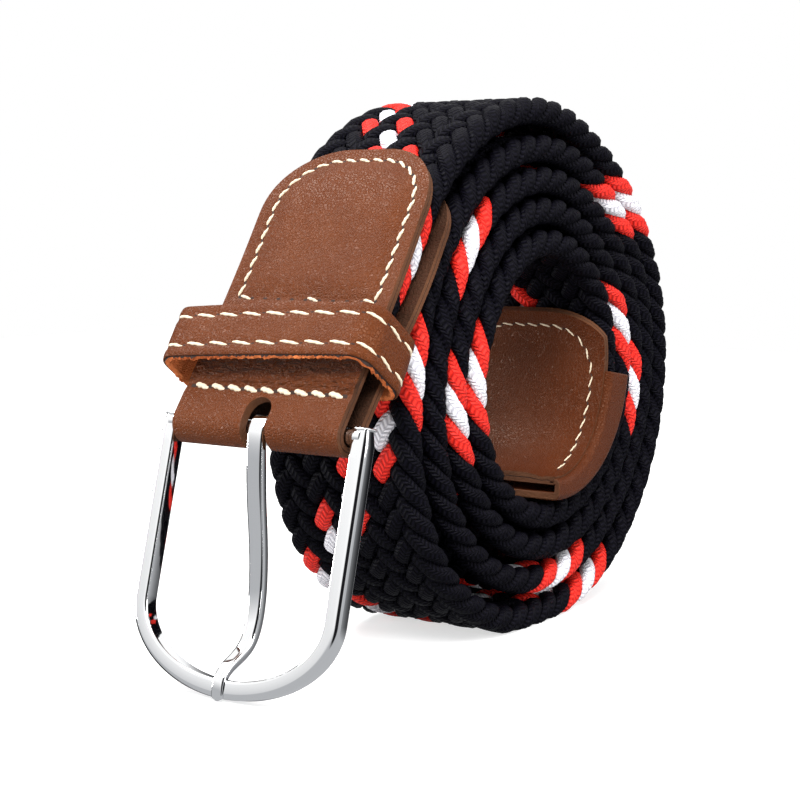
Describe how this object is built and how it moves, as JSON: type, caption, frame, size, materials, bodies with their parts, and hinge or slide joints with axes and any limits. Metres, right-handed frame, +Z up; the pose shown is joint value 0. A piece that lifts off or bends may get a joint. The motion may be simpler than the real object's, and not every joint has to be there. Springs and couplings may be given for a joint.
{
  "type": "belt",
  "caption": "Elastic braided stretch belt rolled into a standing coil, with a leather buckle tab, keeper loop, tip cover and open metal buckle.",
  "frame": {"origin": "on the floor, in the middle of the flat the coil rests on, under the coil's axis", "axes": "+Z up, Y along the coil's axis with +Y towards the buckle's far edge, +X away from the buckle"},
  "size_m": [0.1402, 0.0485, 0.107],
  "materials": {
    "braid": "matte round cords, navy with red and white accents",
    "leather": "satin fine grain, reddish brown",
    "metal": "polished"
  },
  "bodies": {
    "belt": {"braided_band": "braid", "buckle_tab": "leather", "keeper_loop": "leather", "tip_cover": "leather"},
    "frame": {"buckle_frame": "metal"},
    "prong": {"buckle_prong": "metal"}
  },
  "joints": [
    {"name": "frame_hinge", "type": "hinge", "parent": "belt", "child": "frame", "pos_m": [-0.0704, 0, 0.046], "axis": [0, 1, 0], "range_deg": [-45, 55]},
    {"name": "prong_hinge", "type": "hinge", "parent": "frame", "child": "prong", "pos_m": [-0.0704, 0, 0.046], "axis": [0, 1, 0], "range_deg": [0, 75]}
  ]
}
